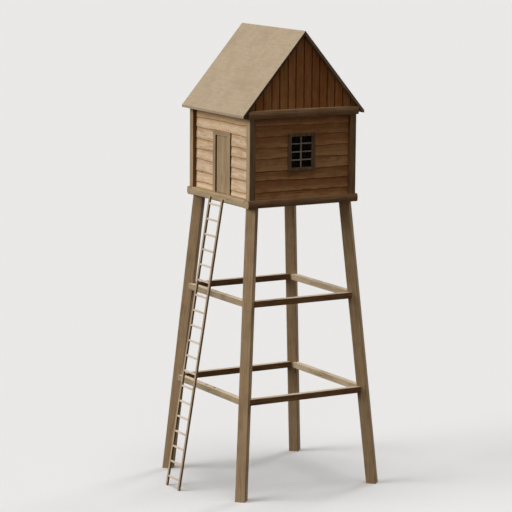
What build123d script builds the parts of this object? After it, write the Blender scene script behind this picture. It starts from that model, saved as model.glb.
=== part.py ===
from build123d import *
from math import atan, atan2, cos, degrees, sin, tan
import os

os.makedirs("parts", exist_ok=True)

# Fire lookout tower: a small timber cab on four raking legs, reached by a long ladder.
# All sizes are in millimetres. The origin is on the ground under the middle of the cab, +Z is up,
# the door wall looks along -Y and the ridge runs along X.

# Platform: a ring of sill beams on top of the legs, with joists and a deck inside the ring
cab_width = 3660
platform_height = 8380
sill_height = 230
sill_width = 252
sill_edge_radius = 45
beam_crown = 30
crown_edge_radius = 35
deck_thickness = 45
joist_width = 80
joist_height = 160
joist_spacing = 765
joist_count = 3

# Legs: square timbers set cornerwise, raking in towards the top
leg_side = 300
leg_top_inset = 273
leg_rake = 670
leg_edge_radius = 18

# Braces: two level rings of square timber, notched over the corners of the legs
brace_width = 180
brace_height = 180
brace_edge_radius = 14
upper_brace_drop = 2670
lower_brace_drop = 5470

# Ladder: two rails with rungs let in between, leaning on the front sill
ladder_width = 806
ladder_shift = -10
ladder_spread = 1395
ladder_seat_rise = 5
ladder_seat_length = 55
rail_width = 76
rail_depth = 57
rung_thickness = 54
rung_depth = 48
rung_edge_bevel = 7
rung_count = 19
first_rung_height = 285
last_rung_drop = 100

# Cab frame: corner posts on the sills, tie beams over the end walls, plates over the long walls
post_side = 200
post_inset = 52
post_edge_radius = 12
cab_height = 2315
tie_height = 235
tie_width = 252
plate_height = 276
plate_seat = 60

# Walls: planked walls between the posts, flush with the posts on the inside
wall_thickness = 62

# Windows: one in each wall but the door wall
window_width = 700
window_height = 905
window_middle_height = 1302
window_stile = 105
window_rail = 85
window_frame_proud = 60
glass_thickness = 6
glass_depth = 82

# Doorway and door, hung on the left jamb and opening inwards
doorway_width = 720
doorway_height = 1680
jamb_width = 150
jamb_proud = 60
door_head_height = 130
leaf_thickness = 70
leaf_side_gap = 12
leaf_top_gap = 10
leaf_bottom_gap = 10

# Strap hinges: an eye on each strap drops over a pin that stands on the jamb
pin_radius = 8
pin_clearance = 0.2
pin_overshoot = 6
eye_radius = 16
eye_standoff = 6
strap_length = 520
strap_height = 50
strap_thickness = 10
strap_jamb_gap = 5
strap_web = 12
upper_strap_height = 1380
lower_strap_height = 300
pintle_gap = 5
pintle_arm_thickness = 14
pintle_plate_width = 50
pintle_plate_height = 90
pintle_plate_thickness = 8

# Roof: two plain plank slopes on a ridge beam, the eaves cut plumb over a share of their depth
roof_rise_share = 1.163
roof_end_setback = 10
eave_overhang = 188
roof_thickness = 75
eave_plumb_share = 0.6
ridge_beam_width = 100
ridge_beam_depth = 200

# One overrun serves every cut that runs out of a piece
overrun = 50

# Levels and faces that follow from the sizes above
half_cab = cab_width / 2
deck_level = platform_height + sill_height
wall_top = deck_level + cab_height
tie_top = wall_top + tie_height
post_face = half_cab - post_inset
wall_inside = post_face - post_side
wall_outside = wall_inside + wall_thickness
sill_inside = half_cab - sill_width
tie_inside = half_cab - tie_width
leg_top_reach = half_cab - leg_top_inset
leg_foot_reach = leg_top_reach + leg_rake
slope = atan(roof_rise_share)
ridge_underside = wall_top + plate_height + post_face * roof_rise_share
ridge_height = ridge_underside + roof_thickness / cos(slope)
eave_reach = half_cab + eave_overhang
eave_height = ridge_height - eave_reach * roof_rise_share

sides = {"front": 0, "right": 90, "back": 180, "left": 270}
corners = {
    "front_left": (-1, -1),
    "front_right": (1, -1),
    "back_left": (-1, 1),
    "back_right": (1, 1),
}


def roof_underside(y):
    return ridge_underside - abs(y) * roof_rise_share


def keep(piece, label):
    piece.part.label = label
    export_step(piece.part, f"parts/{label}.step")


def block(x_low, x_high, y_low, y_high, z_low, z_high):
    # A square-edged piece between two corners.
    with BuildPart() as piece:
        with Locations(((x_low + x_high) / 2, (y_low + y_high) / 2, (z_low + z_high) / 2)):
            Box(x_high - x_low, y_high - y_low, z_high - z_low)
    return piece


def turned(template, turn):
    # A copy of a piece made for the front, turned about the middle of the tower.
    with BuildPart() as piece:
        add(template.part.rotate(Axis.Z, turn))
    return piece


# Legs. The foot and the top of each are cut level, so the same diamond shows at both ends.
legs = {}
for corner, (x_side, y_side) in corners.items():
    with BuildPart() as leg:
        with BuildSketch(Plane.XY) as foot:
            with Locations((x_side * leg_foot_reach, y_side * leg_foot_reach)):
                Rectangle(leg_side, leg_side, rotation=45)
            fillet(foot.vertices(), leg_edge_radius)
        leg_axis = Vector(-x_side * leg_rake, -y_side * leg_rake, platform_height)
        extrude(amount=leg_axis.length, dir=leg_axis)
    legs[corner] = leg
    keep(leg, f"leg_{corner}")


# Braces. Each is drawn from leg axis to leg axis and then notched by the two legs it meets.
def leg_reach_at(height):
    return leg_foot_reach + (leg_top_reach - leg_foot_reach) * height / platform_height


for ring, ring_drop in {"upper": upper_brace_drop, "lower": lower_brace_drop}.items():
    ring_middle = platform_height - ring_drop - brace_height / 2
    reach = leg_reach_at(ring_middle)
    with BuildPart() as whole_brace:
        with Locations((0, -reach, ring_middle)):
            Box(2 * reach, brace_width, brace_height)
        fillet(whole_brace.edges().filter_by(Axis.X), brace_edge_radius)
        add(legs["front_left"].part, mode=Mode.SUBTRACT)
        add(legs["front_right"].part, mode=Mode.SUBTRACT)
    with BuildPart() as brace_ring:
        for turn in sides.values():
            add(whole_brace.part.rotate(Axis.Z, turn))
    keep(brace_ring, f"{ring}_braces")


# Sills. The side sills are crowned logs that run through, and square sills butt between them.
def crowned_beam(low, width, height):
    # A beam as long as the cab, drawn for the front, with a crowned face to the weather.
    crown_foot = half_cab - beam_crown
    beam_inside = half_cab - width
    high = low + height
    with BuildPart() as beam:
        with BuildSketch(Plane.YZ) as profile:
            with BuildLine():
                Polyline((-crown_foot, low), (-beam_inside, low), (-beam_inside, high), (-crown_foot, high))
                ThreePointArc((-crown_foot, high), (-half_cab, (low + high) / 2), (-crown_foot, low))
            make_face()
            fillet(profile.vertices().group_by(Axis.X)[0], crown_edge_radius)
        extrude(amount=half_cab, both=True)
    return beam


with BuildPart() as square_sill:
    with Locations((0, -half_cab + sill_width / 2, platform_height + sill_height / 2)):
        Box(cab_width - 2 * sill_width, sill_width, sill_height)
    outer_edges = square_sill.edges().filter_by(Axis.X).group_by(Axis.Y)[0]
    fillet(outer_edges, sill_edge_radius)

crowned_sill = crowned_beam(platform_height, sill_width, sill_height)
for side, turn in sides.items():
    sill = square_sill if side in ("front", "back") else crowned_sill
    keep(turned(sill, turn), f"sill_{side}")


# Deck and joists inside the sill ring, the deck level with the tops of the sills.
deck_underside = deck_level - deck_thickness
deck = block(-sill_inside, sill_inside, -sill_inside, sill_inside, deck_underside, deck_level)
keep(deck, "deck")

with BuildPart() as joists:
    with Locations((0, 0, deck_underside - joist_height / 2)):
        with GridLocations(joist_spacing, 0, joist_count, 1):
            Box(joist_width, 2 * sill_inside, joist_height)
keep(joists, "joists")


# Ladder rails, with a level cut on the ground and a plumb cut against the front sill.
ladder_seat_height = platform_height + sill_edge_radius + ladder_seat_rise
ladder_top = ladder_seat_height + ladder_seat_length
ladder_lean = atan2(ladder_spread, ladder_seat_height)
rail_run = rail_depth / cos(ladder_lean)


def rail_back(height):
    return -half_cab - ladder_spread + height * tan(ladder_lean)


with BuildPart() as rails:
    for hand in (-1, 1):
        rail_middle = ladder_shift + hand * (ladder_width - rail_width) / 2
        with BuildSketch(Plane.YZ.offset(rail_middle)):
            with BuildLine():
                Polyline(
                    (rail_back(0) - rail_run, 0),
                    (rail_back(0), 0),
                    (-half_cab, ladder_seat_height),
                    (-half_cab, ladder_top),
                    (rail_back(ladder_top) - rail_run, ladder_top),
                    close=True,
                )
            make_face()
        extrude(amount=rail_width / 2, both=True)
keep(rails, "ladder_rails")

last_rung_height = platform_height - last_rung_drop
rung_pitch = (last_rung_height - first_rung_height) / (rung_count - 1)
rung_length = ladder_width - 2 * rail_width
with BuildPart() as one_rung:
    Box(rung_length, rung_depth, rung_thickness)
    chamfer(one_rung.edges().filter_by(Axis.X), rung_edge_bevel)

with BuildPart() as rungs:
    for number in range(rung_count):
        rung_height = first_rung_height + number * rung_pitch
        rung_middle = rail_back(rung_height) - rail_run / 2
        leaning = Location((ladder_shift, rung_middle, rung_height), (-degrees(ladder_lean), 0, 0))
        add(one_rung.part.moved(leaning))
keep(rungs, "ladder_rungs")


# Corner posts, standing on the side sills under the ends of the tie beams.
for corner, (x_side, y_side) in corners.items():
    post_middle = post_face - post_side / 2
    with BuildPart() as post:
        with Locations((x_side * post_middle, y_side * post_middle, deck_level + cab_height / 2)):
            Box(post_side, post_side, cab_height)
        fillet(post.edges().filter_by(Axis.Z), post_edge_radius)
    keep(post, f"post_{corner}")


# Walls with a window: the wall is holed for the frame, and the frame holds one sheet of glass.
window_middle = deck_level + window_middle_height
frame_width = window_width + 2 * window_stile
frame_height = window_height + 2 * window_rail
wall_middle = -(wall_inside + wall_outside) / 2
frame_front = wall_outside + window_frame_proud
frame_depth = frame_front - wall_inside
glass_front = frame_front - glass_depth

with BuildPart() as window_wall:
    with Locations((0, wall_middle, deck_level + cab_height / 2)):
        Box(2 * wall_inside, wall_thickness, cab_height)
    with Locations((0, wall_middle, window_middle)):
        Box(frame_width, wall_thickness + overrun, frame_height, mode=Mode.SUBTRACT)

with BuildPart() as window_frame:
    with Locations((0, -frame_front + frame_depth / 2, window_middle)):
        Box(frame_width, frame_depth, frame_height)
        Box(window_width, frame_depth + overrun, window_height, mode=Mode.SUBTRACT)

with BuildPart() as window_glass:
    with Locations((0, -glass_front + glass_thickness / 2, window_middle)):
        Box(window_width, glass_thickness, window_height)

for side in ("right", "back", "left"):
    keep(turned(window_wall, sides[side]), f"wall_{side}")
    keep(turned(window_frame, sides[side]), f"window_frame_{side}")
    keep(turned(window_glass, sides[side]), f"window_glass_{side}")


# Door wall: a piece each side of the doorway and a piece over it.
jamb_inside = doorway_width / 2
jamb_outside = jamb_inside + jamb_width
head_underside = deck_level + doorway_height
head_top = head_underside + door_head_height
jamb_front = wall_outside + jamb_proud

wall_left_of_door = block(-wall_inside, -jamb_outside, -wall_outside, -wall_inside, deck_level, wall_top)
keep(wall_left_of_door, "wall_left_of_door")
wall_right_of_door = block(jamb_outside, wall_inside, -wall_outside, -wall_inside, deck_level, wall_top)
keep(wall_right_of_door, "wall_right_of_door")
wall_over_door = block(-jamb_outside, jamb_outside, -wall_outside, -wall_inside, head_top, wall_top)
keep(wall_over_door, "wall_over_door")

with BuildPart() as jambs:
    for hand in (-1, 1):
        jamb_middle = hand * (jamb_inside + jamb_outside) / 2
        with Locations((jamb_middle, -(jamb_front + wall_inside) / 2, deck_level + doorway_height / 2)):
            Box(jamb_width, jamb_front - wall_inside, doorway_height)
keep(jambs, "door_jambs")

door_head = block(-jamb_outside, jamb_outside, -jamb_front, -wall_inside, head_underside, head_top)
keep(door_head, "door_head")


# Door leaf, flush with the inside of the wall, and its two strap hinges.
leaf_edge = jamb_inside - leaf_side_gap
leaf_low = deck_level + leaf_bottom_gap
leaf_high = head_underside - leaf_top_gap
leaf_front = -wall_inside - leaf_thickness
door_leaf = block(-leaf_edge, leaf_edge, leaf_front, -wall_inside, leaf_low, leaf_high)
keep(door_leaf, "door_leaf")

hinge_x = -jamb_inside
hinge_y = -wall_inside + eye_radius + eye_standoff
strap_start = hinge_x + strap_jamb_gap
strap_levels = [deck_level + lower_strap_height, deck_level + upper_strap_height]

with BuildPart() as straps:
    for level in strap_levels:
        with BuildSketch(Plane.XY.offset(level)):
            with Locations((hinge_x, hinge_y)):
                Circle(eye_radius)
            with Locations((strap_start, -wall_inside)):
                Rectangle(strap_length, strap_thickness, align=(Align.MIN, Align.MIN))
                Rectangle(strap_web, eye_radius + eye_standoff, align=(Align.MIN, Align.MIN))
            with Locations((hinge_x, hinge_y)):
                Circle(pin_radius + pin_clearance, mode=Mode.SUBTRACT)
        extrude(amount=strap_height)
keep(straps, "door_straps")

plate_left = hinge_x - eye_radius - pintle_plate_width
with BuildPart() as pintles:
    for level in strap_levels:
        arm_top = level - pintle_gap
        with BuildSketch(Plane.XY.offset(arm_top)):
            with Locations((hinge_x, hinge_y)):
                Circle(eye_radius)
            with Locations((plate_left, -wall_inside)):
                Rectangle(
                    hinge_x - plate_left,
                    hinge_y + wall_inside + eye_radius,
                    align=(Align.MIN, Align.MIN),
                )
        extrude(amount=-pintle_arm_thickness)
        with BuildSketch(Plane.XY.offset(arm_top - pintle_arm_thickness)):
            with Locations((hinge_x, hinge_y)):
                Circle(pin_radius)
        extrude(amount=pintle_arm_thickness + pintle_gap + strap_height + pin_overshoot)
        with Locations((plate_left, -wall_inside, arm_top)):
            Box(
                pintle_plate_width,
                pintle_plate_thickness,
                pintle_plate_height,
                align=(Align.MIN, Align.MIN, Align.CENTER),
            )
keep(pintles, "door_pintles")


# Tie beams over the end walls, crowned on the weather side and trimmed to the roof slopes.
front_slope = Plane(origin=(0, 0, ridge_underside), x_dir=(1, 0, 0), z_dir=(0, -sin(slope), cos(slope)))
back_slope = Plane(origin=(0, 0, ridge_underside), x_dir=(1, 0, 0), z_dir=(0, sin(slope), cos(slope)))
crowned_tie = crowned_beam(wall_top, tie_width, tie_height)
for side in ("left", "right"):
    with BuildPart() as tie:
        add(crowned_tie.part.rotate(Axis.Z, sides[side]))
        split(bisect_by=front_slope, keep=Keep.BOTTOM)
        split(bisect_by=back_slope, keep=Keep.BOTTOM)
    keep(tie, f"tie_beam_{side}")


# Wall plates over the long walls, each with a sloping seat for the roof along its outer edge.
for side, hand in {"front": -1, "back": 1}.items():
    seat_top = roof_underside(post_face - plate_seat)
    with BuildPart() as plate:
        with BuildSketch(Plane.YZ):
            with BuildLine():
                Polyline(
                    (hand * post_face, wall_top),
                    (hand * wall_inside, wall_top),
                    (hand * wall_inside, seat_top),
                    (hand * (post_face - plate_seat), seat_top),
                    (hand * post_face, roof_underside(post_face)),
                    close=True,
                )
            make_face()
        extrude(amount=tie_inside, both=True)
    keep(plate, f"wall_plate_{side}")


# Gables, standing on the tie beams up to the underside of the roof.
gable_reach = (ridge_underside - tie_top) / roof_rise_share
for side, hand in {"left": -1, "right": 1}.items():
    with BuildPart() as gable:
        with BuildSketch(Plane.YZ.offset(hand * (wall_inside + wall_outside) / 2)):
            with BuildLine():
                Polyline((-gable_reach, tie_top), (gable_reach, tie_top), (0, ridge_underside), close=True)
            make_face()
        extrude(amount=wall_thickness / 2, both=True)
    keep(gable, f"gable_{side}")


# Ridge beam between the gables, its top cut to both slopes.
beam_shoulder = roof_underside(ridge_beam_width / 2)
with BuildPart() as ridge_beam:
    with BuildSketch(Plane.YZ):
        with BuildLine():
            Polyline(
                (-ridge_beam_width / 2, ridge_underside - ridge_beam_depth),
                (ridge_beam_width / 2, ridge_underside - ridge_beam_depth),
                (ridge_beam_width / 2, beam_shoulder),
                (0, ridge_underside),
                (-ridge_beam_width / 2, beam_shoulder),
                close=True,
            )
        make_face()
    extrude(amount=wall_inside, both=True)
keep(ridge_beam, "ridge_beam")


# Roof slopes, with a plumb and a level cut at the eaves and a plumb joint along the ridge.
eave_low = eave_height - eave_plumb_share * roof_thickness / cos(slope)
eave_in = (ridge_underside - eave_low) / roof_rise_share
for side, hand in {"front": -1, "back": 1}.items():
    with BuildPart() as roof:
        with BuildSketch(Plane.YZ):
            with BuildLine():
                Polyline(
                    (hand * eave_reach, eave_height),
                    (0, ridge_height),
                    (0, ridge_underside),
                    (hand * eave_in, eave_low),
                    (hand * eave_reach, eave_low),
                    close=True,
                )
            make_face()
        extrude(amount=half_cab - roof_end_setback, both=True)
    keep(roof, f"roof_{side}")
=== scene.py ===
import math
import random
import bpy
from mathutils import Matrix, Vector


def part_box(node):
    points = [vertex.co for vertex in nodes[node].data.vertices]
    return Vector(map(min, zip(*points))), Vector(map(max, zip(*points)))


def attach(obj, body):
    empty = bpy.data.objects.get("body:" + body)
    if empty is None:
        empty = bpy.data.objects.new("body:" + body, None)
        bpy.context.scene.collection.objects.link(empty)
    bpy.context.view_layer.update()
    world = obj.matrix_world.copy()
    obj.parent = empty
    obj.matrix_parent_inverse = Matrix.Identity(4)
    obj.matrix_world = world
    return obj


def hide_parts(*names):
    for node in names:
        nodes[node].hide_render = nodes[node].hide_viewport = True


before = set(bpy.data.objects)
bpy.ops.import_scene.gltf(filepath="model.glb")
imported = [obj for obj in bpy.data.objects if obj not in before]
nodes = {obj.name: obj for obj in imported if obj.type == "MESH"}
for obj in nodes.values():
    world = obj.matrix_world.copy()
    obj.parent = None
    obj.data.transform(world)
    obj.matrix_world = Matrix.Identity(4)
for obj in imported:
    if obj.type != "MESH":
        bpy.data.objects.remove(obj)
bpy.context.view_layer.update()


# Legs: four square softwood timbers, stood cornerwise and raking in from the ground to the cab's corners.
# They are sawn and oiled, weathered between brown and grey, with drying checks along the grain.
leg_rake_run = 0.670
leg_rake = leg_rake_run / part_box("leg_front_left")[1].z
leg_corners = {"front_left": (-1, -1), "front_right": (1, -1), "back_left": (-1, 1), "back_right": (1, 1)}


def seen_colour(red, green, blue):
    # A colour as the eye reads it on a screen, 0 to 255, turned into the linear colour that a shader takes.
    linear = []
    for part in (red, green, blue):
        share = part / 255
        if share > 0.04045:
            linear.append(((share + 0.055) / 1.055) ** 2.4)
        else:
            linear.append(share / 12.92)
    return (*linear, 1.0)


def deepened(colour, red, green, blue):
    # A linear colour with each of its parts made stronger or weaker.
    return (min(1.0, colour[0] * red), min(1.0, colour[1] * green), min(1.0, colour[2] * blue), 1.0)


def start_finish(name):
    # A new finish, its tree of nodes and the surface that ends it.
    finish = bpy.data.materials.new(name)
    finish.use_nodes = True
    return finish, finish.node_tree, finish.node_tree.nodes["Principled BSDF"]


def shader_part(tree, kind, sockets, **settings):
    # One node of a finish. A socket takes a number, a colour or the output of another node.
    part = tree.nodes.new(kind)
    for setting, value in settings.items():
        setattr(part, setting, value)
    for socket, value in sockets.items():
        if isinstance(value, bpy.types.NodeSocket):
            tree.links.new(value, part.inputs[socket])
        else:
            part.inputs[socket].default_value = value
    return part


def worked_out(tree, operation, first, second=0.0, third=0.0):
    # One step of arithmetic between numbers or the outputs of nodes.
    sockets = {0: first, 1: second, 2: third}
    return shader_part(tree, "ShaderNodeMath", sockets, operation=operation).outputs[0]


def spread(tree, value, low, high, low_result=0.0, high_result=1.0):
    # Stretches the range from low to high over the range of results, smoothly and with the ends held.
    sockets = {"Value": value, 1: low, 2: high, 3: low_result, 4: high_result}
    return shader_part(tree, "ShaderNodeMapRange", sockets, interpolation_type="SMOOTHSTEP").outputs[0]


def laid_over(tree, share, under, over):
    # Lays one colour over another by a mask.
    return shader_part(tree, "ShaderNodeMix", {0: share, 6: under, 7: over}, data_type="RGBA").outputs[2]


def cloudy(tree, place, detail, scale=1.0, rough=0.6, twist=0.0):
    # Soft random clouds, with so many changes a metre.
    sockets = {"Vector": place, "Scale": scale, "Detail": detail, "Roughness": rough, "Distortion": twist}
    return shader_part(tree, "ShaderNodeTexNoise", sockets).outputs[0]


def mark_on_board(tree, mark):
    # A mark that each board carries on its own corners.
    return shader_part(tree, "ShaderNodeAttribute", {}, attribute_name=mark).outputs["Fac"]


def raise_relief(tree, surface, height, strength, depth):
    # Lets light catch the unevenness of a surface.
    sockets = {"Strength": strength, "Distance": depth, "Height": height}
    relief = shader_part(tree, "ShaderNodeBump", sockets)
    tree.links.new(relief.outputs["Normal"], surface.inputs["Normal"])


def weathered_timber(
    name,
    colours,
    run,
    lean=(0.0, 0.0),
    fibre=0.60,
    figure=0.07,
    knots=0.75,
    checks=1.0,
    edge_paling=0.7,
    edge_colour=None,
    bump=0.4,
    boards=False,
    lap_darkening=0.0,
    lap_fade=0.0,
    patch_tint=None,
    patch_share=0.0,
    fleck_share=0.0,
):
    # Softwood in a dark, a middle and a pale colour, with its grain along the run axis: fibres, growth bands,
    # knots, checks, blotches and worn edges. Boards carry marks of their own: a tone and a tint for each, a
    # lip that is painted pale, as wear and on wall boards also as painted highlight, and a lap that is
    # painted dark, as dirt and on wall boards as painted shade.
    dark, middle, pale = colours
    soot = deepened(dark, red=0.30, green=0.26, blue=0.22)
    darkening_colour = deepened(dark, red=0.68, green=0.50, blue=0.32)
    palest = edge_colour or deepened(pale, red=1.12, green=1.12, blue=1.14)
    finish, tree, surface = start_finish(name)

    # Where the grain lies: a raking timber is stood upright first, and each board is cut from its own stretch
    place = shader_part(tree, "ShaderNodeTexCoord", {}).outputs["Object"]
    if lean != (0.0, 0.0):
        apart = shader_part(tree, "ShaderNodeSeparateXYZ", {"Vector": place}).outputs
        upright = {
            "X": worked_out(tree, "MULTIPLY_ADD", apart["Z"], lean[0], apart["X"]),
            "Y": worked_out(tree, "MULTIPLY_ADD", apart["Z"], lean[1], apart["Y"]),
            "Z": apart["Z"],
        }
        place = shader_part(tree, "ShaderNodeCombineXYZ", upright).outputs["Vector"]
    weather_place = place
    if boards:
        stretch_of_log = 71.0
        tone = mark_on_board(tree, "tone")
        shift = worked_out(tree, "MULTIPLY", tone, stretch_of_log)
        own_start = shader_part(tree, "ShaderNodeCombineXYZ", {"X": shift, "Y": shift, "Z": shift})
        sockets = {0: place, 1: own_start.outputs["Vector"]}
        place = shader_part(tree, "ShaderNodeVectorMath", sockets, operation="ADD").outputs["Vector"]

    def along_grain(across, along):
        # The place scaled to so many changes a metre across the grain and along it.
        scale = [across, across, across]
        scale["XYZ".index(run)] = along
        return shader_part(tree, "ShaderNodeMapping", {"Vector": place, "Scale": scale}).outputs["Vector"]

    # Fibres and growth bands along the grain, and slow blotches over the whole piece. The mean tone stays
    # the same, however strong the fibres are
    usual_fibre = 0.60
    rings_in_band = 34.0
    blotch_share = 0.40
    middle_tone = 0.5
    tone_share = 0.22
    fibres = cloudy(tree, along_grain(across=64.0, along=1.6), detail=5.0, rough=0.65)
    bands = cloudy(tree, along_grain(across=7.0, along=0.36), detail=2.0, rough=0.5, twist=0.4)
    rings = worked_out(tree, "SINE", worked_out(tree, "MULTIPLY", bands, rings_in_band))
    blotches = cloudy(tree, weather_place, detail=4.0, scale=1.3)
    value = worked_out(tree, "MULTIPLY_ADD", rings, figure, (usual_fibre - fibre) / 2)
    value = worked_out(tree, "MULTIPLY_ADD", fibres, fibre, value)
    value = worked_out(tree, "MULTIPLY_ADD", blotches, blotch_share, value)
    if boards:
        off_middle = worked_out(tree, "SUBTRACT", tone, middle_tone)
        value = worked_out(tree, "MULTIPLY_ADD", off_middle, tone_share, value)
    ramp = shader_part(tree, "ShaderNodeValToRGB", {"Fac": value})
    ramp_stops = ramp.color_ramp.elements
    ramp_stops[0].position = 0.30
    ramp_stops[0].color = dark
    ramp_stops[1].position = 0.70
    ramp_stops[1].color = pale
    ramp_stops.new(position=0.5).color = middle
    colour = ramp.outputs["Color"]

    # Tinted patches and small pale flecks
    if patch_tint:
        tint_share = 0.24
        patches = cloudy(tree, along_grain(across=9.0, along=3.4), detail=3.0)
        patches = worked_out(tree, "MULTIPLY_ADD", mark_on_board(tree, "tint"), tint_share, patches)
        tinted = spread(tree, patches, low=0.52, high=0.76, high_result=patch_share)
        colour = laid_over(tree, tinted, colour, patch_tint)
        flecks = cloudy(tree, along_grain(across=20.0, along=4.5), detail=2.0)
        flecked = spread(tree, flecks, low=0.54, high=0.68, high_result=fleck_share)
        colour = laid_over(tree, flecked, colour, palest)

    # Knots and long drying checks, which follow the middle line between two clouds
    cloud_middle = 0.5
    check_darkness = 0.8
    sockets = {"Vector": along_grain(across=2.1, along=0.62), "Scale": 1.0, "Randomness": 1.0}
    knot_reach = shader_part(tree, "ShaderNodeTexVoronoi", sockets).outputs["Distance"]
    knotted = spread(tree, knot_reach, low=0.035, high=0.085, low_result=knots, high_result=0.0)
    colour = laid_over(tree, knotted, colour, soot)
    check_line = cloudy(tree, along_grain(across=11.0, along=0.25), detail=1.0, rough=0.4)
    off_line = worked_out(tree, "ABSOLUTE", worked_out(tree, "SUBTRACT", check_line, cloud_middle))
    on_line = spread(tree, off_line, low=0.002, high=0.011, low_result=checks, high_result=0.0)
    dried_out = spread(tree, cloudy(tree, place, detail=1.0, scale=1.9), low=0.50, high=0.60)
    splits = worked_out(tree, "MULTIPLY", on_line, dried_out)
    colour = laid_over(tree, worked_out(tree, "MULTIPLY", splits, check_darkness), colour, soot)

    # Paling and darkening: boards by their lip and lap marks, as wear and dirt, and on wall boards also as
    # painted highlight and painted shade; whole timbers by how near the surface is to an edge, as wear, and
    # by blotches, as dirt
    patchy = cloudy(tree, place, detail=3.0, scale=11.0)
    if boards:
        # The lip mark paints a board pale, as wear, and on wall boards also as painted highlight and painted
        # shading.
        lip = spread(tree, mark_on_board(tree, "lip"), low=0.25, high=1.0)
        streaks = cloudy(tree, along_grain(across=15.0, along=2.4), detail=3.0)
        streaky = spread(tree, streaks, low=0.36, high=0.62, low_result=0.25)
        paled = worked_out(tree, "MULTIPLY", lip, streaky)
        # On wall boards the lap darkening is painted shade under the next board's lip, and on other boards it
        # is dirt in the joints.
        lap = spread(tree, mark_on_board(tree, "lap"), low=0.10, high=0.62)
        fading = cloudy(tree, along_grain(across=1.4, along=1.1), detail=2.0)
        faded_darkening = lap_darkening * (1 - lap_fade)
        darkening_left = spread(tree, fading, low=0.36, high=0.56, low_result=faded_darkening, high_result=lap_darkening)
        darkened = worked_out(tree, "MULTIPLY", lap, darkening_left)
        darkened = worked_out(tree, "MULTIPLY", darkened, spread(tree, patchy, low=0.25, high=0.60, low_result=0.6))
    else:
        worn_edge_reach = 0.022
        blotch_dirt = 0.30
        turned = shader_part(tree, "ShaderNodeBevel", {"Radius": worn_edge_reach}, samples=4)
        own = shader_part(tree, "ShaderNodeNewGeometry", {})
        sockets = {0: turned.outputs["Normal"], 1: own.outputs["Normal"]}
        compared = shader_part(tree, "ShaderNodeVectorMath", sockets, operation="DOT_PRODUCT")
        agreement = compared.outputs["Value"]
        edge = spread(tree, agreement, low=0.80, high=0.995, low_result=1.0, high_result=0.0)
        paled = worked_out(tree, "MULTIPLY", edge, spread(tree, patchy, low=0.38, high=0.62))
        darkened = worked_out(tree, "MULTIPLY", spread(tree, blotches, low=0.56, high=0.74), blotch_dirt)
    colour = laid_over(tree, worked_out(tree, "MULTIPLY", paled, edge_paling), colour, palest)
    colour = laid_over(tree, darkened, colour, darkening_colour)
    tree.links.new(colour, surface.inputs["Base Color"])

    # Dry wood is matt, smoother on the hard bands, and its fibres and checks can be felt
    ring_relief = 0.12
    check_relief = -1.2
    patch_relief = 0.3
    roughness = spread(tree, fibres, low=0.3, high=0.7, low_result=0.92, high_result=0.70)
    tree.links.new(roughness, surface.inputs["Roughness"])
    surface.inputs["Specular IOR Level"].default_value = 0.25
    relief = worked_out(tree, "MULTIPLY_ADD", rings, ring_relief, fibres)
    relief = worked_out(tree, "MULTIPLY_ADD", splits, check_relief, relief)
    relief = worked_out(tree, "MULTIPLY_ADD", patchy, patch_relief, relief)
    raise_relief(tree, surface, relief, strength=bump, depth=0.006)
    return finish


def finish_node(name, finish):
    # Gives a carried-over solid one finish all over.
    mesh = nodes[name].data
    mesh.materials.clear()
    mesh.materials.append(finish)


leg_colours = (seen_colour(136, 108, 76), seen_colour(171, 144, 110), seen_colour(195, 170, 136))
for corner, (x_side, y_side) in leg_corners.items():
    leg_lean = (x_side * leg_rake, y_side * leg_rake)
    leg_finish = weathered_timber(
        f"oiled_leg_{corner}", leg_colours, "Z", lean=leg_lean, fibre=0.40, figure=0.04, checks=0.7
    )
    finish_node(f"leg_{corner}", leg_finish)


# Braces: two level rings of square timber, each length notched over the edges of the two legs it meets.
# Their tops are painted paler, as a painted highlight, and the outer faces darker than the inner ones, as
# painted shade. The lengths along the end walls are painted dark brown, as painted shade.
# Painted light: the outer colours are darker than the wood, as painted shade, the top colours paler, as a
# painted highlight, and the end-wall colours dark brown, as painted shade.
brace_inner_colours = (seen_colour(164, 139, 104), seen_colour(200, 178, 147), seen_colour(218, 199, 170))
brace_outer_shaded_colours = (seen_colour(136, 114, 86), seen_colour(168, 148, 120), seen_colour(188, 168, 140))
brace_top_highlight_colours = (seen_colour(188, 168, 138), seen_colour(222, 204, 176), seen_colour(234, 219, 195))
brace_end_shade_colours = (seen_colour(98, 68, 42), seen_colour(132, 98, 66), seen_colour(158, 126, 92))
brace_finishes = {
    "inner": weathered_timber("brace_inner_face", brace_inner_colours, "X", fibre=0.45, figure=0.05),
    "outer": weathered_timber("brace_outer_face", brace_outer_shaded_colours, "X", fibre=0.45, figure=0.05),
    "long top": weathered_timber("brace_top_along_ridge", brace_top_highlight_colours, "X", fibre=0.45, figure=0.05),
    "end top": weathered_timber("brace_top_across_ridge", brace_top_highlight_colours, "Y", fibre=0.45, figure=0.05),
    "under drip": weathered_timber("brace_end_painted_shade", brace_end_shade_colours, "Y", fibre=0.45, edge_paling=0.2),
}

# How far a face's normal points up where the face belongs to the top, which takes in its eased edges
brace_top_rise = 0.7


def finish_faces(name, finishes, kind_of_face):
    # Gives a carried-over solid several finishes, by the kind that a rule finds for each of its faces.
    mesh = nodes[name].data
    mesh.materials.clear()
    for finish in finishes.values():
        mesh.materials.append(finish)
    kinds = list(finishes)
    for face in mesh.polygons:
        face.material_index = kinds.index(kind_of_face(face))


# Tops take the painted highlight, and the end-wall lengths and the outer faces take the painted shade.
def kind_of_brace_face(face):
    along_ridge = abs(face.center.y) > abs(face.center.x)
    if face.normal.z > brace_top_rise:
        return "long top" if along_ridge else "end top"
    if not along_ridge:
        return "under drip"
    return "outer" if face.normal.y * face.center.y > 0 else "inner"


for ring in ("upper", "lower"):
    finish_faces(f"{ring}_braces", brace_finishes, kind_of_brace_face)


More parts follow.
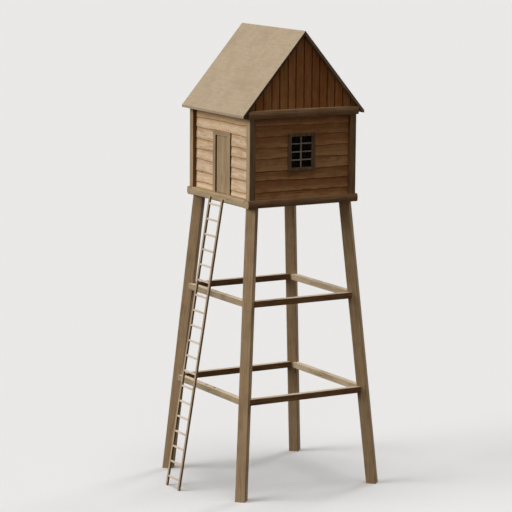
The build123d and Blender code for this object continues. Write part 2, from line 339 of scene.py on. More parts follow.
# Sills: four heavy beams laid as a ring on the tops of the legs, the side ones crowned to the weather.
# The side sills run through and the front and back ones butt between them. The side sills are painted browner
# and darker on their sides and tops, as painted shade.
frame_colours = (seen_colour(136, 112, 80), seen_colour(172, 149, 116), seen_colour(196, 174, 141))
frame_finishes = {
    run: weathered_timber(f"frame_timber_{run}", frame_colours, run, fibre=0.45, figure=0.05) for run in "XYZ"
}
# Painted shade for the sides and tops of the side sills, browner and darker than the wood.
sill_shade_colours = (seen_colour(102, 74, 48), seen_colour(136, 105, 74), seen_colour(163, 133, 99))
sill_shade = weathered_timber("sill_painted_shade", sill_shade_colours, "Y", fibre=0.45, figure=0.05, knots=0.3)
side_sill_finishes = {"sheltered": frame_finishes["Y"], "under drip": sill_shade}

# How far a face's normal points one way where the face is turned partly that way
partly = 0.3


# The sides and tops of the side sills take the painted shade.
def kind_of_sill_face(face):
    return "under drip" if abs(face.normal.x) > partly or face.normal.z > partly else "sheltered"


for side in ("front", "back"):
    finish_node(f"sill_{side}", frame_finishes["X"])
for side in ("left", "right"):
    finish_faces(f"sill_{side}", side_sill_finishes, kind_of_sill_face)


# Joists: three sawn timbers that run from the front sill to the back one and carry the deck.
# They are sheltered, so they keep more of the colour of new wood.
inner_colours = (seen_colour(130, 98, 62), seen_colour(172, 138, 96), seen_colour(198, 168, 126))
inner_finishes = {
    run: weathered_timber(f"sheltered_timber_{run}", inner_colours, run, edge_paling=0.3) for run in "XY"
}
finish_node("joists", inner_finishes["Y"])


# Deck: sawn boards laid across the joists, inside the sill ring and level with its top.
# Each board has eased edges, worn pale by the tread, and a narrow gap to the next, where dirt lies.
deck_low, deck_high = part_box("deck")
deck_board_count = 17
deck_board_gap = 0.005
deck_board_ease = 0.004
deck_edge_reach = 0.020
deck_edge_wear = 0.8
deck_tread_wear = 0.2
deck_edge_dirt = 0.2
deck_gap_dirt = 0.6
deck_colours = (seen_colour(120, 94, 62), seen_colour(164, 137, 100), seen_colour(190, 166, 130))
facing = {
    side: Matrix.Rotation(math.radians(turn), 4, "Z")
    for side, turn in {"front": 0, "right": 90, "back": 180, "left": 270}.items()
}


def start_stock():
    # The corners, faces and marks of boards that are still to be made into one piece.
    return {"corners": [], "faces": [], "tone": [], "tint": [], "lip": [], "lap": []}


def add_board(stock, rings, tone, tint, side):
    # One closed board through rings of corners (along, out, up, lip, lap), drawn for the front of the tower
    # and turned about the middle to its own side. Each ring runs anticlockwise, seen from the first end.
    first = len(stock["corners"])
    count = len(rings[0])
    for ring in rings:
        for along, out, up, lip, lap in ring:
            stock["corners"].append(facing[side] @ Vector((along, -out, up)))
            stock["tone"].append(tone)
            stock["tint"].append(tint)
            stock["lip"].append(lip)
            stock["lap"].append(lap)
    for number in range(len(rings) - 1):
        here = first + number * count
        there = here + count
        for corner in range(count):
            after = (corner + 1) % count
            stock["faces"].append((here + corner, there + corner, there + after, here + after))
    last = first + (len(rings) - 1) * count
    for corner in range(1, count - 1):
        stock["faces"].append((first, first + corner, first + corner + 1))
        stock["faces"].append((last, last + corner + 1, last + corner))


def fix_boards(name, stock, finish, body):
    # Makes the laid boards into one piece and fixes it to the body that carries it.
    mesh = bpy.data.meshes.new(name)
    mesh.from_pydata(stock["corners"], [], stock["faces"])
    for mark in ("tone", "tint", "lip", "lap"):
        layer = mesh.attributes.new(mark, "FLOAT", "POINT")
        layer.data.foreach_set("value", stock[mark])
    mesh.materials.append(finish)
    piece = bpy.data.objects.new(name, mesh)
    bpy.context.scene.collection.objects.link(piece)
    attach(piece, body)
    return piece


deck_stock = start_stock()
deck_dice = random.Random("deck")
deck_pitch = (deck_high.y - deck_low.y) / deck_board_count
for number in range(deck_board_count):
    near = -deck_low.y - number * deck_pitch
    far = near - deck_pitch + (deck_board_gap if number < deck_board_count - 1 else 0.0)
    section = [
        (far, deck_low.z, 0.0, 0.0),
        (near, deck_low.z, 0.0, 0.0),
        (near, deck_high.z - deck_board_ease, 0.0, deck_gap_dirt),
        (near - deck_board_ease, deck_high.z, deck_edge_wear, deck_edge_dirt),
        (near - deck_edge_reach, deck_high.z, deck_tread_wear, 0.0),
        (far + deck_edge_reach, deck_high.z, deck_tread_wear, 0.0),
        (far + deck_board_ease, deck_high.z, deck_edge_wear, deck_edge_dirt),
        (far, deck_high.z - deck_board_ease, 0.0, deck_gap_dirt),
    ]
    rings = [[(along, *corner) for corner in section] for along in (deck_low.x, deck_high.x)]
    add_board(deck_stock, rings, deck_dice.random(), deck_dice.random(), "front")
deck_finish = weathered_timber("trodden_deck", deck_colours, "X", boards=True, lap_darkening=0.7)
deck_boards = fix_boards("deck_planks", deck_stock, deck_finish, "tower")
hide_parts("deck")


# Posts: four square timbers that stand on the ends of the side sills and carry the tie beams.
# They are planed and eased at the edges, painted darker on the end walls, as painted shade, and painted dark
# red-brown on the two faces that the walls run up to, as painted shade in the recess.
# Painted shade: darker colours for the end-wall faces, and dark red-brown ones for the faces in the wall
# recesses.
post_shade_colours = (seen_colour(88, 68, 46), seen_colour(126, 102, 74), seen_colour(152, 128, 98))
recess_shade_colours = (seen_colour(94, 58, 26), seen_colour(126, 83, 40), seen_colour(150, 104, 58))
post_finishes = {
    "plain": frame_finishes["Z"],
    "under drip": weathered_timber("post_painted_shade", post_shade_colours, "Z", fibre=0.45),
    "varnished": weathered_timber("post_recess_painted_shade", recess_shade_colours, "Z", edge_paling=0.2),
}

# How far a face's normal points one way where the face is turned squarely that way
squarely = 0.72


def rule_for_post(x_side, y_side):
    # The rule for the post that stands at one corner of the cab.
    def kind_of_post_face(face):
        outward_x = face.normal.x * x_side
        outward_y = face.normal.y * y_side
        if outward_x < -squarely or outward_y < -squarely:
            return "varnished"
        return "under drip" if outward_x > squarely else "plain"

    return kind_of_post_face


for corner, (x_side, y_side) in leg_corners.items():
    finish_faces(f"post_{corner}", post_finishes, rule_for_post(x_side, y_side))


# Walls: planked walls between the posts, with lapped boards nailed over them on the weather side.
# The boards are wedge-sawn with wandering lower edges, each lower edge lapping the board below it.
# Each wall is painted in its own colours, paler on the front and darker and redder on the right, as lit and
# shaded copies of one wood. Each board is painted paler across its face and at its lip, as wear and painted
# highlight and shading, and a band of painted shade lies under each lap.
wall_inner_corner, wall_outer_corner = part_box("wall_right")
wall_face = wall_outer_corner.x
wall_half_width = wall_outer_corner.y
wall_low = wall_inner_corner.z
wall_high = wall_outer_corner.z
first_lap_rise = 0.190
lap_pitch = 0.3185
lap_count = 7
lap_jitter = 0.018
lap_cover = 0.025
# How far the band of painted shade under each lap reaches down the board.
lap_shade_reach = 0.052
most_lap_shade_share = 0.4
covered_lap = 1.0
cut_lap = 0.5
lip_thickness = 0.028
tip_thickness = 0.010
lip_ease = 0.005
rear_gap = 0.001
rear_hollow = 0.014
board_step = 0.05
least_strip = 0.06
fitting_gap = 0.002
edge_waves = ((0.0095, 1.9), (0.0050, 4.6), (0.0016, 11.0))
edge_wave_change = (0.8, 1.25)
edge_slant = 0.010
window_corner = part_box("window_frame_right")
wall_gaps = {
    side: (window_corner[1].y, window_corner[0].z, window_corner[1].z) for side in ("right", "back", "left")
}
wall_gaps["front"] = (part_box("door_jambs")[1].x, wall_low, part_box("door_head")[1].z)
# Painted light: the front's colours are paler and the right's darker and redder, as lit and shaded copies of
# one wood. The back and left lie between.
wall_colours = {
    "front": (seen_colour(170, 131, 91), seen_colour(200, 167, 131), seen_colour(218, 190, 156)),
    "right": (seen_colour(140, 98, 58), seen_colour(172, 127, 82), seen_colour(194, 150, 106)),
    "back": (seen_colour(146, 106, 70), seen_colour(180, 140, 102), seen_colour(202, 166, 130)),
    "left": (seen_colour(154, 114, 78), seen_colour(186, 148, 112), seen_colour(208, 174, 140)),
}
lip_colours = {
    "front": seen_colour(239, 216, 187),
    "right": seen_colour(216, 170, 120),
    "back": seen_colour(222, 184, 142),
    "left": seen_colour(226, 190, 150),
}
wall_tints = {
    "front": seen_colour(216, 177, 124),
    "right": seen_colour(164, 106, 66),
    "back": seen_colour(176, 126, 84),
    "left": seen_colour(186, 140, 98),
}

# How each wall is marked, and how pale a board is painted at its foot, belly and head, as wear and painted
# shading of its face. The top boards of the front and the back are painted browner, as painted shade of the
# eaves.
wall_marks = {
    side: {"lap_darkening": 0.70, "lap_fade": 0.35, "patch_share": 0.75, "fleck_share": 0.15} for side in facing
}
wall_marks["front"] = {"lap_darkening": 0.95, "lap_fade": 0.15, "patch_share": 0.55, "fleck_share": 0.40}
board_pale_shares = {side: (1.0, 0.50, 0.15) for side in facing}
board_pale_shares["front"] = (0.45, 1.0, 0.50)
eaves_shade_shares = (0.45, 0.35, 0.0)
eaves_shade_tint = 1.6


def wandering_line(dice, reach):
    # The way a hand-sawn edge strays from a straight line, which it keeps to where it has no reach.
    slant = dice.uniform(-edge_slant, edge_slant)
    waves = []
    for size, quickness in edge_waves:
        quick = quickness * dice.uniform(*edge_wave_change)
        waves.append((size * reach, quick, dice.uniform(0.0, math.tau)))

    def stray(along):
        wave = sum(size * math.sin(quick * along + late) for size, quick, late in waves)
        return slant * reach * along + wave

    return stray


def run_of_places(start, end, step):
    # Places from start to end, as near as can be to one step apart.
    count = max(2, round((end - start) / step) + 1)
    return [start + (end - start) * number / (count - 1) for number in range(count)]


def wedge_section(along, edges, limits, cover, pale_shares):
    # The wedge of a board at one place along it, between its two sawn edges and cut off at the limits of
    # an opening. The next board up covers its top by so much.
    low_edge, high_edge = edges
    low_limit, high_limit = limits
    low = max(low_edge, low_limit)
    high = min(high_edge, high_limit)

    def front(up):
        share = (up - low_edge) / (high_edge - low_edge)
        return wall_face + lip_thickness + (tip_thickness - lip_thickness) * share

    def rear(up):
        share = (up - low_edge) / (high_edge - low_edge)
        return wall_face + rear_gap + rear_hollow * (1.0 - share)

    # A band of painted shade lies along the top of the board, under the lip of the next board up.
    lap_shade_low = high - min(cover + lap_shade_reach, most_lap_shade_share * (high - low))
    belly = (low + lap_shade_low) / 2
    # How pale the foot, belly and head are painted, as wear and painted shading of the board's face.
    foot_pale, belly_pale, head_pale = pale_shares
    lap = covered_lap if cover > 0.0 and high_edge <= high_limit else cut_lap
    return [
        (along, rear(low), low, 0.0, 0.0),
        (along, front(low) - lip_ease, low, foot_pale, 0.0),
        (along, front(low), low + lip_ease, foot_pale, 0.0),
        (along, front(belly), belly, belly_pale, 0.0),
        (along, front(lap_shade_low), lap_shade_low, head_pale, 0.0),
        (along, front(high), high, 0.0, lap),
        (along, rear(high), high, 0.0, lap),
    ]


def lapped_boards(side):
    # All the boards of one wall, from the foot up, cut round its window or door.
    stock = start_stock()
    dice = random.Random(f"lapped {side}")
    gap_half, gap_low, gap_high = wall_gaps[side]
    gap_half += fitting_gap
    laps = [wall_low + fitting_gap]
    strays = [wandering_line(dice, reach=0.0)]
    for number in range(lap_count):
        lap_height = wall_low + first_lap_rise + number * lap_pitch
        laps.append(lap_height + dice.uniform(-lap_jitter, lap_jitter))
        strays.append(wandering_line(dice, reach=1.0))
    laps.append(wall_high - fitting_gap)
    strays.append(wandering_line(dice, reach=0.0))
    end = wall_half_width - fitting_gap
    lowest = wall_low - lap_pitch
    highest = wall_high + lap_pitch
    for number in range(lap_count + 1):
        tone = dice.random()
        tint = dice.random()
        pale_shares = board_pale_shares[side]
        # The top board under the eaves is painted browner and less pale, as painted shade.
        if number == lap_count and side in ("front", "back"):
            tint = eaves_shade_tint
            pale_shares = eaves_shade_shares
        cover = lap_cover if number < lap_count else 0.0
        spans = []
        if laps[number + 1] + least_strip > gap_low and laps[number] - least_strip < gap_high:
            spans.append((-end, -gap_half, lowest, highest))
            spans.append((gap_half, end, lowest, highest))
            if laps[number] < gap_low - least_strip:
                spans.append((-gap_half, gap_half, lowest, gap_low - fitting_gap))
            if laps[number + 1] > gap_high + least_strip:
                spans.append((-gap_half, gap_half, gap_high + fitting_gap, highest))
        else:
            spans.append((-end, end, lowest, highest))
        for start, stop, *limits in spans:
            rings = []
            for along in run_of_places(start, stop, board_step):
                low_edge = laps[number] + strays[number](along)
                high_edge = laps[number + 1] + strays[number + 1](along) + cover
                rings.append(wedge_section(along, (low_edge, high_edge), limits, cover, pale_shares))
            add_board(stock, rings, tone, tint, side)
    return stock


for side in facing:
    board_finish = weathered_timber(
        f"lapped_boards_{side}",
        wall_colours[side],
        "X" if side in ("front", "back") else "Y",
        fibre=0.40,
        figure=0.06,
        knots=0.12,
        edge_paling=0.75,
        edge_colour=lip_colours[side],
        boards=True,
        patch_tint=wall_tints[side],
        **wall_marks[side],
    )
    fix_boards(f"wall_boards_{side}", lapped_boards(side), board_finish, "tower")

# Inside, the planking behind the boards is bare and level-grained
plank_colours = (seen_colour(132, 100, 66), seen_colour(172, 138, 98), seen_colour(196, 166, 126))
plank_finishes = {
    run: weathered_timber(f"inner_planks_{run}", plank_colours, run, edge_paling=0.3) for run in "XY"
}
for wall in ("wall_back", "wall_left_of_door", "wall_right_of_door", "wall_over_door"):
    finish_node(wall, plank_finishes["X"])
for wall in ("wall_left", "wall_right"):
    finish_node(wall, plank_finishes["Y"])


# Windows: a planed frame let into the wall, glazed with one clear, dusty sheet behind slim grey bars.
# The bars make two lights across and four up: the upright one runs through, and the level ones butt on it.
window_colours = (seen_colour(84, 66, 44), seen_colour(118, 97, 70), seen_colour(146, 124, 96))
window_finish = weathered_timber("window_frame", window_colours, "Z", fibre=0.45)
glass_low, glass_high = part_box("window_glass_right")
glass_face = glass_high.x
putty_gap = 0.001
bar_thickness = 0.028
bar_width = 0.042
cross_bar_height = 0.034
bar_ease = 0.007
cross_bar_count = 3
bar_back = glass_face + putty_gap
bar_front = glass_face + bar_thickness
bar_colours = (seen_colour(112, 104, 94), seen_colour(158, 150, 138), seen_colour(186, 180, 170))
bar_finish = weathered_timber("grey_glazing_bars", bar_colours, "Z", boards=True, knots=0.0)


def stand_board(stock, across, ends, tone, tint, side):
    # A board stood on end, from corners (along, out, lip, lap) across it from left to right.
    # Its lower and upper end follow from the place along the wall.
    rings = []
    for end in (0, 1):
        rings.append([(along, out, ends(along)[end], lip, lap) for along, out, lip, lap in reversed(across)])
    add_board(stock, rings, tone, tint, side)


def upright_bar(stock, left, right, low, high, tone, side):
    # A bar that runs up the glass, with eased front edges that wear pale.
    across = [
        (left, bar_back, 0.0, 0.0),
        (left, bar_front - bar_ease, 0.0, 0.0),
        (left + bar_ease, bar_front, 1.0, 0.0),
        (right - bar_ease, bar_front, 1.0, 0.0),
        (right, bar_front - bar_ease, 0.0, 0.0),
        (right, bar_back, 0.0, 0.0),
    ]
    stand_board(stock, across, lambda along: (low, high), tone, tint=0.0, side=side)


def level_bar(stock, left, right, low, high, tone, side):
    # A bar that runs across the glass, made like the upright one.
    section = [
        (bar_back, low, 0.0, 0.0),
        (bar_front - bar_ease, low, 0.0, 0.0),
        (bar_front, low + bar_ease, 1.0, 0.0),
        (bar_front, high - bar_ease, 1.0, 0.0),
        (bar_front - bar_ease, high, 0.0, 0.0),
        (bar_back, high, 0.0, 0.0),
    ]
    rings = [[(along, *corner) for corner in section] for along in (left, right)]
    add_board(stock, rings, tone, tint=0.0, side=side)


# The glass is faintly wavy, and a film of dust dulls it in patches
glass_clear = seen_colour(128, 122, 112)
glass_dusty = seen_colour(84, 78, 70)
glass_finish, glass_tree, glass_surface = start_finish("old_window_glass")
glass_place = shader_part(glass_tree, "ShaderNodeTexCoord", {}).outputs["Object"]
glass_film = cloudy(glass_tree, glass_place, detail=4.0, scale=5.0)
glass_dust = spread(glass_tree, glass_film, low=0.40, high=0.75)
glass_colour = laid_over(glass_tree, glass_dust, glass_clear, glass_dusty)
glass_tree.links.new(glass_colour, glass_surface.inputs["Base Color"])
glass_roughness = spread(glass_tree, glass_film, low=0.35, high=0.75, low_result=0.05, high_result=0.22)
glass_tree.links.new(glass_roughness, glass_surface.inputs["Roughness"])
glass_surface.inputs["Transmission Weight"].default_value = 0.97
glass_surface.inputs["IOR"].default_value = 1.08
glass_wave = cloudy(glass_tree, glass_place, detail=1.0, scale=3.0)
raise_relief(glass_tree, glass_surface, glass_wave, strength=0.10, depth=0.004)

for side in ("right", "back", "left"):
    finish_node(f"window_frame_{side}", window_finish)
    finish_node(f"window_glass_{side}", glass_finish)
    dice = random.Random(f"bars {side}")
    stock = start_stock()
    half = glass_high.y - fitting_gap
    low = glass_low.z + fitting_gap
    high = glass_high.z - fitting_gap
    upright_bar(stock, -bar_width / 2, bar_width / 2, low, high, dice.random(), side)
    light_height = (high - low - cross_bar_count * cross_bar_height) / (cross_bar_count + 1)
    for number in range(cross_bar_count):
        bar_foot = low + (number + 1) * light_height + number * cross_bar_height
        bar_head = bar_foot + cross_bar_height
        level_bar(stock, -half, -bar_width / 2, bar_foot, bar_head, dice.random(), side)
        level_bar(stock, bar_width / 2, half, bar_foot, bar_head, dice.random(), side)
    fix_boards(f"glazing_bars_{side}", stock, bar_finish, "tower")


# Door frame: two jambs with a head across them, planed and standing a little proud of the boards.
# The wood is browner than the wall beside it and matches the leaf, and its sides are painted dark, as painted
# shade.
door_colours = (seen_colour(132, 105, 73), seen_colour(168, 143, 110), seen_colour(190, 166, 133))
jamb_side_shade_colours = (seen_colour(44, 26, 10), seen_colour(66, 42, 18), seen_colour(88, 60, 30))
# The jamb sides are painted dark, as painted shade.
jamb_finishes = {
    "front": weathered_timber("door_jamb", door_colours, "Z", fibre=0.45),
    "side": weathered_timber("door_jamb_side_painted_shade", jamb_side_shade_colours, "Z", edge_paling=0.2),
}


def kind_of_jamb_face(face):
    return "side" if abs(face.normal.x) > squarely else "front"


finish_faces("door_jambs", jamb_finishes, kind_of_jamb_face)
finish_node("door_head", weathered_timber("door_head", door_colours, "X", fibre=0.45))


# Door leaf: a thick planked leaf faced with upright boards, hung on the left jamb and opening inwards.
# The boards are edge to edge with eased edges, and fine joints show between them.
leaf_low, leaf_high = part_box("door_leaf")
leaf_board_count = 5
leaf_board_gap = 0.003
leaf_board_thickness = 0.009
leaf_board_ease = 0.004
leaf_edge_dirt = 0.018
eased_edge_lap = 0.6


def eased_board(left, right, back, front, ease, darkened):
    # The corners across an upright board with eased front edges and dirt along its joints.
    # A board that stands across the middle of its wall has a corner there, so that a ridge can point it.
    middle = 0.0 if left + darkened < 0.0 < right - darkened else (left + right) / 2
    return [
        (left, back, 0.0, 1.0),
        (left, front - ease, 0.0, 1.0),
        (left + ease, front, 1.0, eased_edge_lap),
        (left + darkened, front, 0.0, 0.0),
        (middle, front, 0.0, 0.0),
        (right - darkened, front, 0.0, 0.0),
        (right - ease, front, 1.0, eased_edge_lap),
        (right, front - ease, 0.0, 1.0),
        (right, back, 0.0, 1.0),
        (middle, back, 0.0, 1.0),
    ]


def leaf_ends(along):
    # All the boards of the leaf are of one length.
    return (leaf_low.z + fitting_gap, leaf_high.z - fitting_gap)


leaf_stock = start_stock()
leaf_dice = random.Random("door leaf")
leaf_pitch = (leaf_high.x - leaf_low.x) / leaf_board_count
leaf_back = -leaf_low.y
leaf_front = leaf_back + leaf_board_thickness
for number in range(leaf_board_count):
    left = leaf_low.x + number * leaf_pitch + leaf_board_gap / 2
    right = left + leaf_pitch - leaf_board_gap
    across = eased_board(left, right, leaf_back, leaf_front, leaf_board_ease, leaf_edge_dirt)
    stand_board(leaf_stock, across, leaf_ends, leaf_dice.random(), leaf_dice.random(), "front")
leaf_finish = weathered_timber(
    "door_leaf_boards", door_colours, "Z", fibre=0.45, figure=0.05, edge_paling=0.3, boards=True, lap_darkening=0.35
)
fix_boards("door_leaf_boards", leaf_stock, leaf_finish, "door")
finish_node("door_leaf", weathered_timber("door_leaf_planks", door_colours, "Z"))


# Hinges: forged straps with rolled eyes on the inside of the leaf, dropped over pins on the left jamb.
# The iron is blackened and pitted, with rust starting in patches.
iron_black = seen_colour(38, 37, 36)
iron_grey = seen_colour(66, 64, 62)
iron_rust = seen_colour(104, 62, 38)
iron, iron_tree, iron_surface = start_finish("blackened_iron")
iron_place = shader_part(iron_tree, "ShaderNodeTexCoord", {}).outputs["Object"]
iron_patches = cloudy(iron_tree, iron_place, detail=5.0, scale=18.0)
iron_pits = cloudy(iron_tree, iron_place, detail=3.0, scale=160.0)
iron_rusted = spread(iron_tree, iron_patches, low=0.50, high=0.66, high_result=0.85)
iron_colour = laid_over(iron_tree, iron_pits, iron_black, iron_grey)
iron_colour = laid_over(iron_tree, iron_rusted, iron_colour, iron_rust)
iron_tree.links.new(iron_colour, iron_surface.inputs["Base Color"])
iron_roughness = spread(iron_tree, iron_patches, low=0.45, high=0.65, low_result=0.45, high_result=0.85)
iron_tree.links.new(iron_roughness, iron_surface.inputs["Roughness"])
iron_surface.inputs["Metallic"].default_value = 0.8
raise_relief(iron_tree, iron_surface, iron_pits, strength=0.35, depth=0.0015)
finish_node("door_straps", iron)
finish_node("door_pintles", iron)


# Tie beams and wall plates: crowned beams across the end walls, and plates over the long walls.
# The roof sits on the plates and on the trimmed ends of the tie beams. The tie beams' sides are painted
# browner, as painted shade, and their end grain very dark, as darker end grain and painted shade under the
# eaves.
# Painted shade: browner colours for the tie beams' sides and very dark ones for their end grain.
tie_shade_colours = (seen_colour(109, 80, 53), seen_colour(146, 114, 82), seen_colour(172, 142, 108))
tie_shade = weathered_timber("tie_painted_shade", tie_shade_colours, "Y", fibre=0.45, figure=0.05, knots=0.3)
end_grain_shade_colours = (seen_colour(52, 36, 24), seen_colour(76, 56, 38), seen_colour(98, 76, 54))
end_grain_shade = weathered_timber("tie_end_grain_painted_shade", end_grain_shade_colours, "Y", edge_paling=0.2)
tie_finishes = {"sheltered": frame_finishes["Y"], "under drip": tie_shade, "end grain": end_grain_shade}


def kind_of_tie_face(face):
    if abs(face.normal.y) > squarely:
        return "end grain"
    return "under drip" if abs(face.normal.x) > partly else "sheltered"


for side in ("left", "right"):
    finish_faces(f"tie_beam_{side}", tie_finishes, kind_of_tie_face)
for side in ("front", "back"):
    finish_node(f"wall_plate_{side}", inner_finishes["X"])


# Gables: upright boards nailed side by side over the planked gable, cut to the slope of the roof.
# Open joints stand between them, and redder boards alternate with browner ones.
gable_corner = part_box("gable_right")
tie_top = gable_corner[0].z
ridge_underside = gable_corner[1].z
roof_rise_share = (ridge_underside - tie_top) / gable_corner[1].y
gable_board_pitch = 0.264
gable_first_joint = 0.047
gable_joint = 0.016
gable_joint_jitter = 0.012
gable_end_clearance = 0.004
gable_board_thickness = 0.030
gable_board_proud = 0.004
gable_board_ease = 0.006
gable_edge_dirt = 0.030
brown_board_tint = 0.30
red_board_tint = 0.45
board_tint_jitter = 0.12
gable_colours = (seen_colour(134, 84, 44), seen_colour(172, 120, 72), seen_colour(192, 144, 96))
gable_tint = seen_colour(176, 106, 58)
gable_reach = (ridge_underside - fitting_gap - gable_end_clearance - tie_top) / roof_rise_share
boards_before_joint = math.floor((gable_reach + gable_first_joint) / gable_board_pitch)


def gable_ends(along):
    # The boards stand on the tie beam and reach up to just under the roof.
    roof_above = ridge_underside - abs(along) * roof_rise_share
    return (tie_top + fitting_gap, roof_above - gable_end_clearance)


for side in ("right", "left"):
    gable_stock = start_stock()
    gable_dice = random.Random(f"gable {side}")
    joints = [-gable_reach]
    joint = gable_first_joint - boards_before_joint * gable_board_pitch
    while joint < gable_reach - gable_joint:
        if joint > -gable_reach + gable_joint:
            joints.append(joint + gable_dice.uniform(-gable_joint_jitter, gable_joint_jitter))
        joint += gable_board_pitch
    joints.append(gable_reach)
    for number in range(len(joints) - 1):
        left = joints[number] + gable_joint / 2
        right = joints[number + 1] - gable_joint / 2
        reddish = brown_board_tint + red_board_tint * (number % 2)
        reddish += gable_dice.uniform(-board_tint_jitter, board_tint_jitter)
        front = wall_face + gable_board_thickness + gable_dice.uniform(0.0, gable_board_proud)
        across = eased_board(left, right, wall_face + rear_gap, front, gable_board_ease, gable_edge_dirt)
        stand_board(gable_stock, across, gable_ends, gable_dice.random(), reddish, side)
    gable_finish = weathered_timber(
        f"gable_boards_{side}",
        gable_colours,
        "Z",
        fibre=0.45,
        edge_paling=0.4,
        boards=True,
        lap_darkening=0.92,
        patch_tint=gable_tint,
        patch_share=0.6,
    )
    fix_boards(f"gable_boards_{side}", gable_stock, gable_finish, "tower")
    finish_node(f"gable_{side}", weathered_timber(f"gable_planks_{side}", plank_colours, "Y"))


# Roof: two plain slopes of bare sheeting with a plumb joint along the ridge, on a ridge beam.
# The sheeting has bleached to a mottled straw colour, palest along its edges, as wear and a painted
# highlight.
# Underneath it is painted brown and dark, as painted shade, and its gable ends are painted dark on the front
# slope, as painted shade, and greyer on the back one.
roof_colours = (seen_colour(149, 131, 106), seen_colour(169, 151, 126), seen_colour(184, 167, 143))
# The pale edge colour stands for worn edges and a painted highlight.
roof_edge_colour = seen_colour(212, 197, 173)
roof_patch_tint = seen_colour(158, 141, 112)
# Painted shade: the underside colours and the front slope's end colours are darker than the sheeting's wood.
roof_under_shade_colours = (seen_colour(84, 58, 34), seen_colour(115, 84, 52), seen_colour(140, 108, 72))
roof_end_colours = {
    "front": (seen_colour(44, 29, 16), seen_colour(66, 45, 26), seen_colour(86, 63, 40)),
    "back": (seen_colour(104, 88, 72), seen_colour(134, 116, 96), seen_colour(158, 141, 120)),
}
roof_finish = weathered_timber(
    "bleached_roof",
    roof_colours,
    "X",
    fibre=0.14,
    figure=0.02,
    knots=0.0,
    checks=0.0,
    edge_paling=0.8,
    edge_colour=roof_edge_colour,
    bump=0.2,
    patch_tint=roof_patch_tint,
    patch_share=0.7,
    fleck_share=0.14,
)
roof_under_shade_finish = weathered_timber("roof_underside_painted_shade", roof_under_shade_colours, "X", edge_paling=0.2)


def kind_of_roof_face(face):
    if abs(face.normal.x) > squarely:
        return "end"
    return "underside" if face.normal.z < -partly else "weather side"


for side in ("front", "back"):
    roof_end_finish = weathered_timber(
        f"roof_end_{side}", roof_end_colours[side], "Y", knots=0.0, edge_colour=roof_colours[0], edge_paling=0.5
    )
    roof_finishes = {"weather side": roof_finish, "end": roof_end_finish, "underside": roof_under_shade_finish}
    finish_faces(f"roof_{side}", roof_finishes, kind_of_roof_face)
finish_node("ridge_beam", inner_finishes["X"])


# Ladder: two long rails with the rungs let in between them, leaning against the front sill.
# The wood is bare and greyed, the rungs are palest, and the sides of the rails are painted brown and darker,
# as painted shade.
ladder_spread = 1.395
ladder_seat_height = 8.430
ladder_lean = (0.0, -ladder_spread / ladder_seat_height)
rail_colours = (seen_colour(142, 121, 95), seen_colour(180, 158, 130), seen_colour(204, 186, 160))
# Painted shade: the rail side colours are browner and darker than the rail wood.
rail_side_shade_colours = (seen_colour(104, 80, 50), seen_colour(134, 108, 74), seen_colour(158, 132, 98))
rung_colours = (seen_colour(184, 166, 142), seen_colour(216, 201, 180), seen_colour(232, 220, 204))
rail_finishes = {
    "edge": weathered_timber("bare_ladder_rail", rail_colours, "Z", lean=ladder_lean),
    "side": weathered_timber("rail_side_painted_shade", rail_side_shade_colours, "Z", lean=ladder_lean, edge_paling=0.2),
}


def kind_of_rail_face(face):
    return "side" if abs(face.normal.x) > squarely else "edge"


finish_faces("ladder_rails", rail_finishes, kind_of_rail_face)
finish_node("ladder_rungs", weathered_timber("bare_ladder_rung", rung_colours, "X"))


# Stage: a plain pale floor, a broad key light from the door side, light from overhead and weak fill.
# The floor and the backdrop show pale to the eye and throw back less light than they show.
floor_half = 600.0
shown_floor = (0.77, 0.775, 0.78, 1.0)
shown_backdrop = (0.815, 0.807, 0.80, 1.0)
floor_own_light = (0.055, 0.046, 0.038, 1.0)
studio_fill = (0.075, 0.062, 0.050, 1.0)
warm_white = (1.0, 0.86, 0.72)
floor_mesh = bpy.data.meshes.new("stage_floor")
floor_corners = [
    (x_side * floor_half, y_side * floor_half, 0.0) for x_side, y_side in ((-1, -1), (1, -1), (1, 1), (-1, 1))
]
floor_mesh.from_pydata(floor_corners, [], [(0, 1, 2, 3)])
stage_floor = bpy.data.objects.new("stage_floor", floor_mesh)
bpy.context.scene.collection.objects.link(stage_floor)


def seen_directly(tree):
    # One where the eye, a reflection or a view through glass meets the stage, and nought for its light.
    path = shader_part(tree, "ShaderNodeLightPath", {}).outputs
    seen = worked_out(tree, "MAXIMUM", path["Is Camera Ray"], path["Is Glossy Ray"])
    return worked_out(tree, "MAXIMUM", seen, path["Is Transmission Ray"])


floor_finish, floor_tree, floor_surface = start_finish("pale_floor")
floor_colour = laid_over(floor_tree, seen_directly(floor_tree), floor_own_light, shown_floor)
floor_tree.links.new(floor_colour, floor_surface.inputs["Base Color"])
floor_surface.inputs["Roughness"].default_value = 1.0
floor_surface.inputs["Specular IOR Level"].default_value = 0.0
floor_mesh.materials.append(floor_finish)

studio = bpy.data.worlds.new("studio")
studio.use_nodes = True
studio_tree = studio.node_tree
studio_colour = laid_over(studio_tree, seen_directly(studio_tree), studio_fill, shown_backdrop)
studio_tree.links.new(studio_colour, studio_tree.nodes["Background"].inputs["Color"])
bpy.context.scene.world = studio


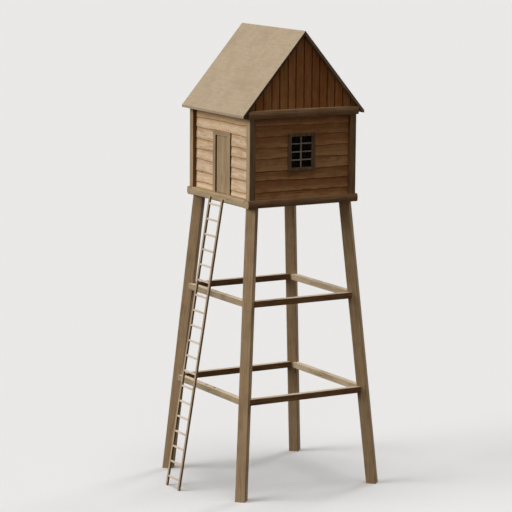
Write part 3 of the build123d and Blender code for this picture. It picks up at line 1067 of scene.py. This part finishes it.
def hang_lamp(name, shines_from, strength, breadth, colour=(1.0, 1.0, 1.0)):
    # A lamp far off in one direction, so many degrees broad.
    lamp_data = bpy.data.lights.new(name, "SUN")
    lamp_data.energy = strength
    lamp_data.angle = math.radians(breadth)
    lamp_data.color = colour
    lamp = bpy.data.objects.new(name, lamp_data)
    lamp.rotation_mode = "QUATERNION"
    lamp.rotation_quaternion = (-Vector(shines_from)).to_track_quat("-Z", "Y")
    bpy.context.scene.collection.objects.link(lamp)


hang_lamp("key_light", shines_from=(-0.20, -0.87, 0.45), strength=2.25, breadth=40.0)
hang_lamp("overhead_light", shines_from=(0.0, 0.0, 1.0), strength=1.6, breadth=40.0)
hang_lamp("right_fill", shines_from=(0.75, -0.25, 0.60), strength=0.22, breadth=60.0, colour=warm_white)
hang_lamp("back_light", shines_from=(-0.35, 0.85, 0.40), strength=0.9, breadth=20.0)


# Camera: a long lens a good way off, higher than the cab, facing the corner between door and window walls.
# Its place and angle come from sight lines to the tower's own corners.
camera_azimuth = math.radians(59.918)
camera_elevation = math.radians(9.463)
camera_roll = math.radians(0.476)
camera_distance = 71.639
camera_side_step = -0.4441
camera_aim_height = 6.6306
camera_lens = 170.82
camera_sensor = 36.0
camera_sight = 2000.0
across = Vector((math.cos(camera_azimuth), math.sin(camera_azimuth), 0.0))
level_back = Vector((math.sin(camera_azimuth), -math.cos(camera_azimuth), 0.0))
back = level_back * math.cos(camera_elevation) + Vector((0.0, 0.0, math.sin(camera_elevation)))
upward = back.cross(across)
rolled_across = across * math.cos(camera_roll) + upward * math.sin(camera_roll)
rolled_upward = upward * math.cos(camera_roll) - across * math.sin(camera_roll)
aim = across * camera_side_step + Vector((0.0, 0.0, camera_aim_height))
camera_data = bpy.data.cameras.new("camera")
camera_data.lens = camera_lens
camera_data.sensor_width = camera_sensor
camera_data.clip_end = camera_sight
camera = bpy.data.objects.new("camera", camera_data)
turned = Matrix((rolled_across, rolled_upward, back)).transposed()
camera.matrix_world = Matrix.Translation(aim + back * camera_distance) @ turned.to_4x4()
bpy.context.scene.collection.objects.link(camera)
bpy.context.scene.camera = camera
bpy.context.scene.view_settings.view_transform = "Standard"
